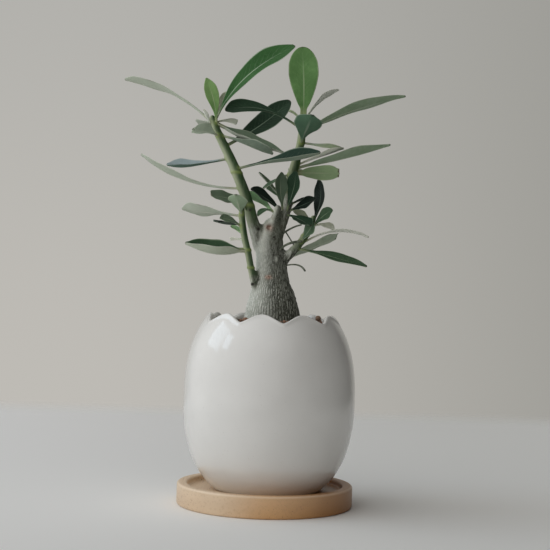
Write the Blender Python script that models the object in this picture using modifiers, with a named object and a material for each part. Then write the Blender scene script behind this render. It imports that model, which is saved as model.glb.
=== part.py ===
"""A potted desert rose (adenium): a swollen caudex with its stems and leaves, in an eggshell pot on a saucer.

Units are metres and +Z is up. The origin is the middle of the saucer's underside. +X is the plant's right
and -Y its front. Every piece is one closed solid, and neighbours keep a gap of 0.3 mm.
"""

import math

import bmesh
import bpy
from mathutils import Vector

MM = 0.001
GAP = 0.3 * MM
WELD = 0.01 * MM
SMOOTH_BELOW = 40  # degrees between two faces
EDGE_STEPS = 3

# Saucer
SAUCER_RADIUS = 45 * MM
SAUCER_HEIGHT = 11 * MM
SAUCER_RIM = 5.3 * MM
SAUCER_FLOOR = 8 * MM
SAUCER_EDGE = 1.2 * MM
SAUCER_STEPS = 48

# Pot: an egg whose section is a superellipse about the middle of its height
EGG_RADIUS = 44 * MM
EGG_HALF_HEIGHT = 55 * MM
EGG_POWER = 2.4
POT_SHIFT = 1.1 * MM  # it stands a little to the right of the saucer's middle
POT_WALL = 3 * MM
POT_BOTTOM = SAUCER_FLOOR + GAP
FOOT_WIDTH = 4 * MM
FOOT_RECESS = 1.5 * MM
POT_BASE_THICKNESS = 4 * MM
DRAIN_RADIUS = 5 * MM
RIM_PEAK = 97.7 * MM
RIM_NOTCH = 93.6 * MM
SCALLOP_POWER = 1.3
TURN_STEPS = 60
# Where the wall has a ring, as shares: outer face from the lip down, inner face from the floor up
OUTER_RINGS = (0, 0.03, 0.08, 0.17, 0.32, 0.51, 0.7, 0.85, 0.935)
INNER_RINGS = (0, 0.05, 0.14, 0.28, 0.46, 0.66, 0.84, 1)
# Where the notches between the rim's scallops stand, in degrees from the front towards the right
NOTCH_ANGLES = (-62, -26, 10, 48, 83, 119, 155, 191, 227, 263)

# Soil
SOIL_EDGE_HEIGHT = 92.0 * MM
SOIL_CROWN_HEIGHT = 93.4 * MM
SOIL_SHOULDER_RADIUS = 22 * MM
SOIL_SHOULDER_HEIGHT = 93.0 * MM

# Stems: centre line and radius in millimetres, from the root end up
CAUDEX_PATH = (
    (1.5, 0, 79, 9), (1.5, 0, 82, 13), (1.5, 0, 88, 15), (1.5, 0, 94, 14.8), (1.2, 0, 100, 13.7),
    (0.9, 0, 105, 12.5), (0.5, 0, 110, 10.9), (0.6, 0, 115, 9.0), (0.3, 0, 119.5, 8.0), (0.2, 0, 124, 7.8),
    (-0.8, 0, 130, 7.2), (-0.6, 0, 136, 6.5), (0.3, 0, 140.5, 5.5), (0.6, 0, 143, 4.0),
)
LEFT_STEM_PATH = (
    (-1.2, 0, 130, 3.5), (-5.2, -1, 135.5, 3.4), (-8.8, -2, 141, 3.2), (-11.5, -4, 150, 3.1),
    (-14.4, -5, 159, 2.9), (-18.3, -6, 168, 2.8), (-22.5, -6, 177, 2.6), (-27.3, -6, 186, 2.3),
    (-30.7, -6, 193, 2.1), (-32.1, -6, 197, 1.4),
)
CENTRE_SHOOT_PATH = (
    (-0.4, -1, 137, 2.6), (-0.1, -2, 141, 2.6), (1.0, -3.2, 145, 2.4), (2.4, -4, 150, 2.2),
    (3.2, -4.2, 153, 1.4),
)
RIGHT_STEM_PATH = (
    (2.2, 0.8, 136, 2.6), (3.8, 1.4, 141, 2.7), (6.2, 1.8, 149, 2.7), (7.6, 1.6, 157, 2.7),
    (8.7, 1, 165, 2.6), (9.8, 0, 171, 2.6), (11.4, 0, 177, 2.4), (13.1, 0, 184, 2.2),
    (14.1, 0, 191, 2.2), (14.5, 0, 199, 2.1), (14.5, 0, 202.5, 1.3),
)
LEFT_SHOOT_PATH = (
    (-5.0, -3, 108, 1.9), (-8.6, -6, 115, 1.9), (-10.4, -7, 122, 1.8), (-11.8, -8, 129, 1.8),
    (-13.5, -9, 135, 1.8), (-14.9, -9.5, 143, 1.7), (-15.6, -10, 149, 1.7), (-15.9, -10, 153, 1.1),
)
RIGHT_SHOOT_PATH = (
    (3.0, -0.5, 122, 2.1), (8.6, -2, 128, 2.2), (12.6, -3, 132, 2.1), (16.2, -3, 136.5, 2.0),
    (19.0, -3, 142, 1.9), (20.6, -3, 146, 1.7), (21.4, -3, 149, 1.1),
)
PATH_STEPS = 2
CAUDEX_SIDES_LEVEL = 6
STEM_SIDES_LEVEL = 3

# Leaves
LEAF_STATIONS = (0, 0.08, 0.2, 0.34, 0.48, 0.62, 0.75, 0.87, 0.95)
LEAF_BASE_THICKNESS = 1.2 * MM
LEAF_TIP_THICKNESS = 0.5 * MM
PETIOLE_HALF_WIDTH = 0.7 * MM
USUAL_WIDEST = 0.66
OUTLINE_POWER = 0.8

# Each leaf: share of the way up its stem, reach from its base to its tip, push of its middle off the straight
# line, width, direction its upper face looks, and the fold of its two halves in degrees. Reach and push are
# in millimetres to the right, back and up.
LEAVES = {
    "left_stem": (
        (0.99, (-46.5, 16, 23), (1.5, 0, 4), 10, (0, 0.4, 0.9), 12),
        (0.97, (-5.7, -3, 21.5), (1.2, -1, 0), 7.3, (0.2, -1, 0), 12),
        (0.99, (5, 8, 16), (-1, 0, 0), 5, (0.9, -0.4, 0.2), 15),
        (0.99, (39.5, 10, 41), (-4.4, 0, 4), 16.5, (-0.5, -0.73, 0.5), 15),
        (0.79, (31, 14, 26), (1, 2, -0.5), 14.5, (-0.3, -0.87, 0.4), 10),
        (0.88, (-11, -15, 0.5), (0, 0, 1), 10, (-0.35, 0.3, 0.9), 20),
        (0.97, (-8.5, 18, 2.5), (0, 0, 1), 8, (0, 0.3, 1), 15),
        (0.97, (9.5, 18, 2), (0.5, 0, 1.5), 7, (0, 0.3, 1), 15),
        (0.94, (34, 1, -13.5), (-0.3, -1, -0.4), 11.5, (0.25, -0.3, 0.9), 28),
        (0.85, (25, -1, -8.5), (1, -1.5, 0.3), 10, (0.25, 0.2, 0.95), 26),
        (0.61, (40.5, -9, 8), (-0.5, -2.5, 0.3), 10.5, (0, -0.5, 0.87), 38),
        (0.71, (-30, 4, -3), (0, -1, -1), 7.5, (0, -0.5, 0.87), 38),
        (0.49, (-52, 20, 18.6), (-1, -1, -4.5), 10, (0.2, 0.4, 0.9), 15),
        (0.385, (-15.5, -14, 2), (0, 0, 0.5), 9, (0.65, -0.4, 0.6), 12),
    ),
    "right_stem": (
        (0.97, (-1.7, -5, 34.5), (0.5, 0, 0), 15.5, (0, -1, 0.1), 8),
        (0.885, (-38, 1, 7.5), (-1, 0, 5.5), 11.5, (0, -0.7, 0.7), 15),
        (0.96, (17, 10, 17), (-1.5, 0, 1.5), 6, (-0.3, 0.35, 0.8), 15),
        (0.87, (52, 12, 21), (-1, 0, 2.2), 10.5, (-0.2, 0.45, 0.85), 15),
        (0.77, (4.5, -22, 10.5), (0, 0, 0.5), 14.5, (0, 0.57, 0.8), 12),
        (0.77, (20.5, 11, -0.8), (0, 0, 0), 5, (0, 0.3, 0.95), 15),
        (0.615, (22.5, 7, 9.5), (0, -0.5, 0.5), 8, (-0.3, 0.25, 0.9), 15),
        (0.585, (48.3, 14, 15), (0, 1, 0.3), 10.5, (-0.2, 0.17, 0.95), 26),
        (0.54, (21.5, 1, 0.6), (0, 0, 0), 9, (0, -0.9, 0.3), 10),
        (0.31, (-8.5, 6, 7.5), (0, 0, 1), 6, (0.3, -0.7, 0.6), 12),
        (0.32, (-12.3, 0, 13.5), (0, 0, 0.5), 4, (0.6, -0.4, 0.6), 20),
        (0.24, (-1, -6, 18.5), (-0.6, -1.2, 0), 9, (0.7, -0.7, 0), 15),
        (0.25, (3.7, -7, 19), (0.7, -1, 0), 10, (-0.6, -0.75, 0.2), 15),
        (0.245, (12.5, -6, 6), (0, 0, 0), 8.5, (-0.3, -0.7, 0.6), 15),
        (0.30, (8, 1, 3), (0, 0, 0.5), 3.5, (0, -0.4, 0.9), 15),
        (0.205, (11.5, -14, -6), (0, 0, 0.8), 9, (0.1, -0.5, 0.85), 15),
        (0.50, (-12, -3, -7.4), (0, 0, 0.5), 3.5, (0, -0.4, 0.9), 15),
        (0.23, (-15, -6, 10), (0.5, 2, 1), 11, (0.4, -0.6, 0.7), 15),
        (0.36, (2, 32, 4), (0, 0, 3), 9, (0, 0, 1), 15),
        (0.55, (2, 30, 0), (0, 0, 2), 8, (0, 0, 1), 15),
    ),
    "centre_shoot": (
        (0.80, (-12.6, 8, 10.6), (0, 0, 0), 9, (0.3, -0.6, 0.7), 15),
        (0.80, (-7.5, -5, -3), (-0.5, 0, 2), 4, (0, -0.4, 0.9), 15),
    ),
    "left_shoot": (
        (0.91, (-2.5, -13, 8), (0, 0, 0), 10, (0.1, 0.6, 0.8), 14),
        (0.88, (-30.3, 18, 4), (0, 0, 0.3), 11, (0.2, 0.5, 0.85), 12),
        (0.78, (-9.8, -4, 3), (0, 0, 1.2), 6, (0.3, -0.7, 0.6), 15),
        (0.79, (-13.5, 6, 2), (0, 0, -0.4), 6, (0, -0.2, 1), 15),
        (0.69, (-5.5, 9, 4.5), (0, 0, 0), 6, (0.3, -0.6, 0.7), 15),
        (0.515, (-29.5, -5, 2.7), (1.2, 0, -0.8), 11.5, (0, -0.35, 0.94), 46),
        (0.60, (-7.5, 17, 1.4), (0, 0, 1), 5, (0, 0.3, 1), 15),
    ),
    "right_shoot": (
        (0.90, (2.3, 5, 22.8), (2, 0, 0.2), 10, (-0.8, -0.57, 0), 15),
        (0.85, (9.2, -4, 8), (0, 0, 1), 8, (-0.3, -0.8, 0.5), 10),
        (0.84, (11.5, 10, -1), (0, 0, 2), 6, (0, 0.3, 0.95), 15),
        (0.56, (5.5, -4, 9.5), (0.4, -1, 0.2), 9, (-0.5, -0.6, 0.5), 12),
        (0.84, (-6.5, 12, 9), (0, 0, 0), 9, (0.4, -0.6, 0.6), 12),
        (0.62, (31.5, 3, 2.4), (0, 0, 4.2), 8, (0, 0.12, 1), 12),
        (0.455, (34, -4, -8), (0, 0, 0.6), 9, (0.2, -0.5, 0.8), 15),
    ),
    "caudex": (
        (0.71, (28, 14, 14), (0, 0, 0.5), 8, (-0.3, 0.5, 0.8), 12),
    ),
}
# Leaves that are not widest at the usual share of their length, with that share
WIDEST = {
    "left_stem_leaf_01": 0.76, "left_stem_leaf_04": 0.72, "left_stem_leaf_09": 0.5,
    "left_stem_leaf_11": 0.74, "left_stem_leaf_12": 0.74, "left_stem_leaf_13": 0.75,
    "right_stem_leaf_02": 0.76, "right_stem_leaf_04": 0.57, "right_stem_leaf_08": 0.54,
    "left_shoot_leaf_02": 0.72, "left_shoot_leaf_06": 0.52,
}
# Leaves with blunter ends than the rest: three shaped like spoons, and three whose tips have broken off
BLUNT = {
    "right_stem_leaf_01": 0.3, "left_stem_leaf_04": 0.15, "left_stem_leaf_05": 0.15,
    "right_stem_leaf_09": 0.45, "caudex_leaf_01": 0.5, "left_stem_leaf_14": 0.5,
}


def clear_scene():
    for old in list(bpy.data.objects):
        bpy.data.objects.remove(old, do_unlink=True)


def collection(name):
    made = bpy.data.collections.new(name)
    bpy.context.scene.collection.children.link(made)
    return made


def principled(name, colour, roughness):
    material = bpy.data.materials.new(name)
    material.use_nodes = True
    shader = material.node_tree.nodes["Principled BSDF"]
    shader.inputs["Base Color"].default_value = (*colour, 1)
    shader.inputs["Roughness"].default_value = roughness
    shader.inputs["Metallic"].default_value = 0
    return material


def new_object(name, mesh, home, material=None):
    obj = bpy.data.objects.new(name, mesh)
    home.objects.link(obj)
    if material:
        mesh.materials.append(material)
        mesh.shade_smooth()
        mesh.set_sharp_from_angle(angle=math.radians(SMOOTH_BELOW))
        obj.parent = ROOT
    return obj


# Turned pieces


def arc(centre, radius, start, end, steps):
    """Points of an arc in the (r, z) plane; angles in degrees."""
    points = []
    for i in range(steps + 1):
        angle = math.radians(start + (end - start) * i / steps)
        points.append((centre[0] + radius * math.cos(angle), centre[1] + radius * math.sin(angle)))
    return points


def turned(name, profile, steps, home, material):
    """A mesh turned about +Z from a profile of (r, z) points that runs down its outer side."""
    mesh = bpy.data.meshes.new(name)
    points = [(r, 0, z) for r, z in profile]
    closed = profile[0][0] > 0
    edges = [(i, i + 1) for i in range(len(points) - 1)]
    if closed:
        edges.append((len(points) - 1, 0))
    mesh.from_pydata(points, edges, [])
    obj = new_object(name, mesh, home, material)
    screw = obj.modifiers.new("turn", "SCREW")
    screw.steps = steps
    screw.render_steps = steps
    screw.use_merge_vertices = True
    screw.merge_threshold = WELD
    screw.use_smooth_shade = True
    return obj


def saucer_profile():
    edge = SAUCER_EDGE
    recess = SAUCER_RADIUS - SAUCER_RIM
    top = SAUCER_HEIGHT
    outline = [(0, SAUCER_FLOOR), (recess - edge, SAUCER_FLOOR)]
    outline += arc((recess - edge, SAUCER_FLOOR + edge), edge, -90, 0, EDGE_STEPS)[1:]
    outline += arc((recess + edge, top - edge), edge, 180, 90, EDGE_STEPS)
    outline += arc((SAUCER_RADIUS - edge, top - edge), edge, 90, 0, EDGE_STEPS)
    outline += arc((SAUCER_RADIUS - edge, edge), edge, 0, -90, EDGE_STEPS)
    outline += [(0, 0)]
    return outline


def egg_radius(z, inset=0):
    """Radius of the eggshell at height z, or of its inner face when inset by the wall."""
    centre = EGG_HALF_HEIGHT
    share = abs(z - centre) / (EGG_HALF_HEIGHT - inset)
    return (EGG_RADIUS - inset) * (1 - share**EGG_POWER) ** (1 / EGG_POWER)


def rim_height(angle):
    """Height of the scalloped rim at an angle in degrees from the front, towards the right."""
    for low, high in zip(NOTCH_ANGLES, NOTCH_ANGLES[1:] + (NOTCH_ANGLES[0] + 360,)):
        turned_angle = (angle - low) % 360
        if turned_angle <= high - low:
            share = turned_angle / (high - low)
            return RIM_NOTCH + (RIM_PEAK - RIM_NOTCH) * math.sin(math.pi * share) ** SCALLOP_POWER
    return RIM_NOTCH


def fill_heights(floor):
    """Heights from the pot's floor to the soil's edge, closer together where the wall curves in."""
    return [floor + (SOIL_EDGE_HEIGHT - floor) * share for share in INNER_RINGS]


def pot_profile():
    """Closed (r, z) loop of the pot's wall, base and foot, with a level rim."""
    rim = (RIM_PEAK + RIM_NOTCH) / 2
    foot = egg_radius(POT_BOTTOM)
    recess = POT_BOTTOM + FOOT_RECESS
    floor = POT_BOTTOM + POT_BASE_THICKNESS
    lip = POT_WALL / 2
    shoulder = rim - lip
    outer_heights = [shoulder - (shoulder - POT_BOTTOM) * share for share in OUTER_RINGS]
    inner_heights = fill_heights(floor) + [shoulder]
    lip_centre = (egg_radius(shoulder) - lip, shoulder)
    outline = arc(lip_centre, lip, 150, 30, EDGE_STEPS)
    outline += [(egg_radius(z), z) for z in outer_heights]
    outline += [(foot, POT_BOTTOM), (foot - FOOT_WIDTH, POT_BOTTOM)]
    outline += [(foot - FOOT_WIDTH - FOOT_RECESS, recess), (DRAIN_RADIUS, recess), (DRAIN_RADIUS, floor)]
    outline += [(egg_radius(z, POT_WALL), z) for z in inner_heights]
    return outline


def scallop(mesh):
    """Raises and lowers a turned pot above the soil's edge, so that its rim follows the scallops."""
    level = (RIM_PEAK + RIM_NOTCH) / 2
    for vertex in mesh.vertices:
        x, y, z = vertex.co
        if z <= SOIL_EDGE_HEIGHT:
            continue
        share = min(1, (z - SOIL_EDGE_HEIGHT) / (level - SOIL_EDGE_HEIGHT))
        front_angle = math.degrees(math.atan2(x, -y))
        raised = z + (rim_height(front_angle) - level) * share * share * (3 - 2 * share)
        narrowing = egg_radius(raised) / egg_radius(z)
        vertex.co = (x * narrowing, y * narrowing, raised)


def applied(obj):
    """The same object with its modifiers made part of its mesh."""
    bpy.context.view_layer.update()
    graph = bpy.context.evaluated_depsgraph_get()
    mesh = bpy.data.meshes.new_from_object(obj.evaluated_get(graph))
    obj.modifiers.clear()
    obj.data = mesh
    return obj


def inset(line, distance):
    """The (r, z) line moved to its left, square to itself, with mitred corners."""
    across = []
    for (r, z), (next_r, next_z) in zip(line, line[1:]):
        across.append(Vector((z - next_z, next_r - r)).normalized())
    before = across[:1] + across
    after = across + across[-1:]
    return [
        Vector(point) + (a + b) * distance / (1 + a.dot(b)) for point, a, b in zip(line, before, after)
    ]


def soil_profile():
    """The soil fills the pot up to a gap from its floor and wall, and its top is a low crown."""
    floor = POT_BOTTOM + POT_BASE_THICKNESS
    wall = [(egg_radius(z, POT_WALL), z) for z in fill_heights(floor)]
    filled = inset([(0, floor)] + wall, GAP)
    crown = [(0, SOIL_CROWN_HEIGHT), (SOIL_SHOULDER_RADIUS, SOIL_SHOULDER_HEIGHT)]
    return crown + filled[::-1]


# Stems


def smooth_path(path):
    """Centre points in metres and radii, on a smooth curve through the path's own points."""
    centres = [Vector(point[:3]) * MM for point in path]
    radii = [point[3] * MM for point in path]
    last = len(path) - 1
    found = []
    for i in range(last):
        before, after = max(i - 1, 0), min(i + 2, last)
        for step in range(PATH_STEPS):
            t = step / PATH_STEPS
            centre = catmull(centres[before], centres[i], centres[i + 1], centres[after], t)
            radius = catmull(radii[before], radii[i], radii[i + 1], radii[after], t)
            found.append((centre, radius))
    found.append((centres[last], radii[last]))
    return found


def catmull(a, b, c, d, t):
    return b + 0.5 * t * ((c - a) + t * ((2 * a - 5 * b + 4 * c - d) + t * (3 * (b - c) + d - a)))


def tube(name, points, level, home, material=None):
    """A closed mesh tube through (centre, radius) points."""
    curve = bpy.data.curves.new(name, "CURVE")
    curve.dimensions = "3D"
    curve.bevel_depth = MM
    curve.bevel_resolution = level
    curve.use_fill_caps = True
    spline = curve.splines.new("POLY")
    spline.points.add(len(points) - 1)
    for target, (centre, radius) in zip(spline.points, points):
        target.co = (*centre, 1)
        target.radius = radius / MM
    guide = bpy.data.objects.new(name + "_guide", curve)
    home.objects.link(guide)
    bpy.context.view_layer.update()
    graph = bpy.context.evaluated_depsgraph_get()
    mesh = bpy.data.meshes.new_from_object(guide.evaluated_get(graph))
    bpy.data.objects.remove(guide)
    shape = bmesh.new()
    shape.from_mesh(mesh)
    bmesh.ops.remove_doubles(shape, verts=shape.verts, dist=WELD)
    bmesh.ops.recalc_face_normals(shape, faces=shape.faces)
    shape.to_mesh(mesh)
    shape.free()
    mesh.name = name
    return new_object(name, mesh, home, material)


def grown(points, by):
    """The same path made fatter and longer by a clearance."""
    first = (points[0][0] - points[1][0]).normalized() * by
    last = (points[-1][0] - points[-2][0]).normalized() * by
    fatter = [(centre, radius + by) for centre, radius in points]
    fatter[0] = (points[0][0] + first, points[0][1] + by)
    fatter[-1] = (points[-1][0] + last, points[-1][1] + by)
    return fatter


def clearance_cutter(name, points, level):
    cutter = tube(name + "_clearance", grown(points, GAP), level, CUTTERS)
    cutter.hide_render = True
    cutter.display_type = "WIRE"
    return cutter


def cut(obj, cutter):
    boolean = obj.modifiers.new("clearance", "BOOLEAN")
    boolean.operation = "DIFFERENCE"
    boolean.solver = "EXACT"
    boolean.object = cutter


# Leaves


def along(points, share):
    """Centre, direction and radius at a share of a stem's length."""
    lengths = [(b[0] - a[0]).length for a, b in zip(points, points[1:])]
    left = share * sum(lengths)
    for i, length in enumerate(lengths):
        if left <= length or i == len(lengths) - 1:
            t = min(left / length, 1)
            centre = points[i][0].lerp(points[i + 1][0], t)
            radius = points[i][1] + (points[i + 1][1] - points[i][1]) * t
            return centre, (points[i + 1][0] - points[i][0]).normalized(), radius
        left -= length


def half_width(share, width, widest, blunt):
    """Half the leaf's width at a share of its length: narrow at its base and rounded at its tip."""
    phase = share ** (math.log(0.5) / math.log(widest))
    return max(PETIOLE_HALF_WIDTH, width / 2 * math.sin(math.pi * phase) ** (OUTLINE_POWER - blunt))


def leaf(name, stem_points, row, material):
    """A closed loft along the leaf's curved spine: each ring is two edges and the two faces of its midrib."""
    at, reach, push, width, faces, fold = row
    centre, axis, radius = along(stem_points, at)
    chord = Vector(reach) * MM
    middle = Vector(push) * MM
    leaving = chord + 4 * middle
    outward = (leaving - axis * leaving.dot(axis)).normalized()
    base = centre + outward * (radius + GAP)
    upper_face = Vector(faces)
    widest = WIDEST.get(name, USUAL_WIDEST)
    blunt = BLUNT.get(name, 0)
    lift = math.tan(math.radians(fold))
    shape = bmesh.new()
    rings = []
    for share in LEAF_STATIONS:
        spine = base + chord * share + middle * 4 * share * (1 - share)
        tangent = (chord + middle * 4 * (1 - 2 * share)).normalized()
        normal = (upper_face - tangent * upper_face.dot(tangent)).normalized()
        side = tangent.cross(normal)
        half = half_width(share, width * MM, widest, blunt)
        thick = (LEAF_BASE_THICKNESS + (LEAF_TIP_THICKNESS - LEAF_BASE_THICKNESS) * share) / 2
        raised = normal * half * lift / 2
        left, right = spine - side * half + raised, spine + side * half + raised
        corners = [left, spine - raised + normal * thick, right, spine - raised - normal * thick]
        if share == 0:
            corners = [corner - outward * (corner - base).dot(outward) for corner in corners]
        rings.append([shape.verts.new(corner) for corner in corners])
    tip = shape.verts.new(base + chord)
    shape.faces.new(rings[0])
    for lower, upper in zip(rings, rings[1:]):
        for i in range(4):
            j = (i + 1) % 4
            shape.faces.new((lower[i], upper[i], upper[j], lower[j]))
    for i in range(4):
        shape.faces.new((rings[-1][i], tip, rings[-1][(i + 1) % 4]))
    bmesh.ops.triangulate(shape, faces=shape.faces)
    bmesh.ops.recalc_face_normals(shape, faces=shape.faces)
    mesh = bpy.data.meshes.new(name)
    shape.to_mesh(mesh)
    shape.free()
    return new_object(name, mesh, PARTS, material)


# The plant and its pot


def build_holder():
    wood = principled("oiled wood", (0.36, 0.20, 0.09), 0.55)
    glaze = principled("white glaze", (0.78, 0.78, 0.76), 0.15)
    earth = principled("potting mix", (0.10, 0.06, 0.04), 0.95)
    turned("saucer", saucer_profile(), SAUCER_STEPS, PARTS, wood)
    pot = applied(turned("pot", pot_profile(), TURN_STEPS, PARTS, glaze))
    scallop(pot.data)
    soil = turned("soil", soil_profile(), TURN_STEPS, PARTS, earth)
    pot.location.x = soil.location.x = POT_SHIFT
    return soil


def build_stems():
    """Makes the stems, each cut clear of those it grows from, and returns their paths by name."""
    bark = principled("grey green bark", (0.22, 0.24, 0.19), 0.75)
    green = principled("green stem", (0.16, 0.22, 0.11), 0.55)
    paths = {
        "caudex": smooth_path(CAUDEX_PATH),
        "left_stem": smooth_path(LEFT_STEM_PATH),
        "centre_shoot": smooth_path(CENTRE_SHOOT_PATH),
        "right_stem": smooth_path(RIGHT_STEM_PATH),
        "left_shoot": smooth_path(LEFT_SHOOT_PATH),
        "right_shoot": smooth_path(RIGHT_SHOOT_PATH),
    }
    tube("caudex", paths["caudex"], CAUDEX_SIDES_LEVEL, PARTS, bark)
    clearance = clearance_cutter("caudex", paths["caudex"], CAUDEX_SIDES_LEVEL)
    for name in ("left_stem", "centre_shoot", "right_stem", "left_shoot", "right_shoot"):
        stem = tube(name, paths[name], STEM_SIDES_LEVEL, PARTS, green)
        cut(stem, clearance)
    return paths, clearance


def build_leaves(paths):
    green = principled("leaf green", (0.08, 0.15, 0.06), 0.5)
    for stem_name, rows in LEAVES.items():
        for number, row in enumerate(rows, 1):
            leaf(f"{stem_name}_leaf_{number:02d}", paths[stem_name], row, green)


clear_scene()
PARTS = collection("desert_rose_adenium")
CUTTERS = collection("cutters")
ROOT = bpy.data.objects.new("desert_rose", None)
PARTS.objects.link(ROOT)
soil_piece = build_holder()
stem_paths, caudex_clearance = build_stems()
cut(soil_piece, caudex_clearance)
build_leaves(stem_paths)
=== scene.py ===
# The looks of a potted desert rose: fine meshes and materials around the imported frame, with its studio.
# Units are metres and +Z is up. -Y is the front. Each piece takes its place from the frame's own nodes.

import itertools
import math

import bmesh
import bpy
import numpy as np
from mathutils import Matrix, Vector


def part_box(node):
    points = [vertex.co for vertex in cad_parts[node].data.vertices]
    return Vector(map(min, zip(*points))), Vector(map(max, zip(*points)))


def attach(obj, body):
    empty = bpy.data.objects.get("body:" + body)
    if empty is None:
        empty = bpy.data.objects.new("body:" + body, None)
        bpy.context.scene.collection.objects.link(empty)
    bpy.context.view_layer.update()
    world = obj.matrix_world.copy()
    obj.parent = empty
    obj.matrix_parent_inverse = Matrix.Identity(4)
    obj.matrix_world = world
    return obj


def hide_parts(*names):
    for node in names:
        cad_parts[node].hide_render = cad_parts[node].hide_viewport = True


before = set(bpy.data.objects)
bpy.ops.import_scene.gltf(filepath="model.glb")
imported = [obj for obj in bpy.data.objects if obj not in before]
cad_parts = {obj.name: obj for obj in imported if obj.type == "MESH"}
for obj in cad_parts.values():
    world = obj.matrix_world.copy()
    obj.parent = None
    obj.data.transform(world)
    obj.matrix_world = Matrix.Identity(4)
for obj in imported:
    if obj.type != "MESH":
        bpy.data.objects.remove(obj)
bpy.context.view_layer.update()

MM = 0.001
SEED = 20

# Camera
CAMERA_PLACE = (0.00224, -0.619, 0.1044)
CAMERA_LENS = 78.55
CAMERA_UP = 1.24
CAMERA_ROLL = 1.66

# Pot: its egg is a superellipse about the middle of its height, as in the frame
EGG_POWER = 2.4
EGG_HALF_HEIGHT = 55 * MM
POT_WALL = 3 * MM
RIM_PEAK = 97.7 * MM
RIM_NOTCH = 93.6 * MM
SCALLOP_POWER = 1.3
NOTCH_ANGLES = (-62, -26, 10, 48, 83, 119, 155, 191, 227, 263)
POT_BASE_THICKNESS = 4 * MM
FOOT_WIDTH = 4 * MM
FOOT_RECESS = 1.5 * MM
DRAIN_RADIUS = 5 * MM
POT_COLUMNS = 300
POT_ROWS = 80
LIP_STEPS = 12
EGG_RADIUS = 44 * MM
POT_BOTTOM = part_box("pot")[0].z
POT_AT = (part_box("pot")[0].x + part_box("pot")[1].x) / 2
# Towards the lip the wall's inner face moves out by twice LIP_THINNING, over the height LIP_REACH
LIP_THINNING = 0.35 * MM
LIP_REACH = 8 * MM
# Slow unevenness of the thrown wall: how far, and over what distance
POT_SWELL = 0.06 * MM
POT_SWELL_REACH = 17 * MM

# Saucer
SAUCER_COLUMNS = 200
SAUCER_RADIUS = 45 * MM
SAUCER_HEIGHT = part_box("saucer")[1].z
SAUCER_RIM = 5.3 * MM
SAUCER_FLOOR = 8 * MM
SAUCER_EDGE = 1.2 * MM
EDGE_STEPS = 6

# Soil: heights of its top by radius, its lumpy crust, and the granules on it
SOIL_RADII = (0, 22 * MM, 33 * MM)
SOIL_HEIGHTS = (93.4 * MM, 93.0 * MM, 92.0 * MM)
CRUST_FROM = 12 * MM
CRUST_GAP = 0.4 * MM
CRUST_RINGS = 44
CRUST_COLUMNS = 220
CRUST_LIFT = 0.25 * MM
CRUST_THICKNESS = 1.6 * MM
GRANULES = 520
GRANULE_RADII = (14.5 * MM, 31.5 * MM)
GRANULE_SIZE = 0.42 * MM
GRANULE_EXTRA = 0.75 * MM
# Larger crumbs that show through the notches, each as degrees from the front, radius, height, size and tone
CHUNKS = (
    (64, 26, 93.9, 2, 0.7), (62, 26.6, 96.3, 1.75, 0.45), (68, 26.2, 95.3, 1.4, 0.86),
    (57, 25.4, 93.9, 1.4, 0.74), (-31, 25.4, 94.5, 1.5, 0.6), (-36, 26, 94, 1.2, 0.8),
    (-27, 25, 94.3, 1.3, 0.66), (-23, 25.6, 93.6, 1, 0.4), (15, 24.9, 94.2, 1, 0.72),
    (19, 24.7, 94, 0.9, 0.84), (11, 24.9, 93.8, 0.8, 0.5),
)

# Stems
BURIED_TO = 84 * MM
STEM_COLUMNS = 40
FILLET = 1.0 * MM
VOXEL = 0.33 * MM
CUT_STEP = 1.5 * MM
END_CUT = 2.0 * MM
END_ANGLES = (20, 45, 70)
STEM_ROOT = 8 * MM
# Heights in millimetres between which each stem's bark turns green
GREEN_FROM = {
    "caudex": (150, 160), "left_stem": (139, 149), "centre_shoot": (146, 175),
    "right_stem": (152, 170), "left_shoot": (110, 120), "right_shoot": (124, 140),
}
STEM_NAMES = tuple(GREEN_FROM)
# The caudex's wrinkles: how many go round it, the place of its axis in x, and the heights between which they
# flatten and its bark turns paler
WRINKLES = 58
CAUDEX_AXIS = 0.5 * MM
CRINKLES_END = (124 * MM, 146 * MM)
# How far the wrinkles, the slow fluting and the nodes stand out, in millimetres
CREST_LIFT = 0.24
FLUTING_LIFT = 0.28
NODE_LIFT = 0.42
# Painted light on the bark: it is painted paler where it faces the light and darker, as painted shade,
# where it faces away. How far its surface leans to -X, from the shaded to the lit side
PAINTED_LIGHT_FROM = (-0.26, 0.74)
# Bark low on the caudex, high on it and on green wood: its ground and its patches, each first in painted
# shade and then in painted light, in thousandths
BARK_COLOURS = (
    (((75, 80, 60), (520, 540, 475)), ((45, 48, 36), (380, 400, 340))),
    (((105, 114, 83), (840, 850, 760)), ((68, 75, 52), (680, 710, 610))),
    (((50, 98, 36), (440, 480, 320)), ((30, 68, 24), (350, 405, 240))),
)
# Swollen rings on the shoots: place and reach, in millimetres
NODE_RINGS = (
    ((-12, -8.1, 130), (4, 4, 0.8)), ((-10.3, -6.9, 121), (4, 4, 0.7)), ((-12.5, -4.3, 153), (5, 5, 1.1)),
    ((-19, -6, 169.5), (5, 5, 0.9)), ((8.2, 1.3, 161), (5, 5, 1.2)), ((17.5, -3, 138.5), (4, 4, 0.8)),
)
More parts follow.
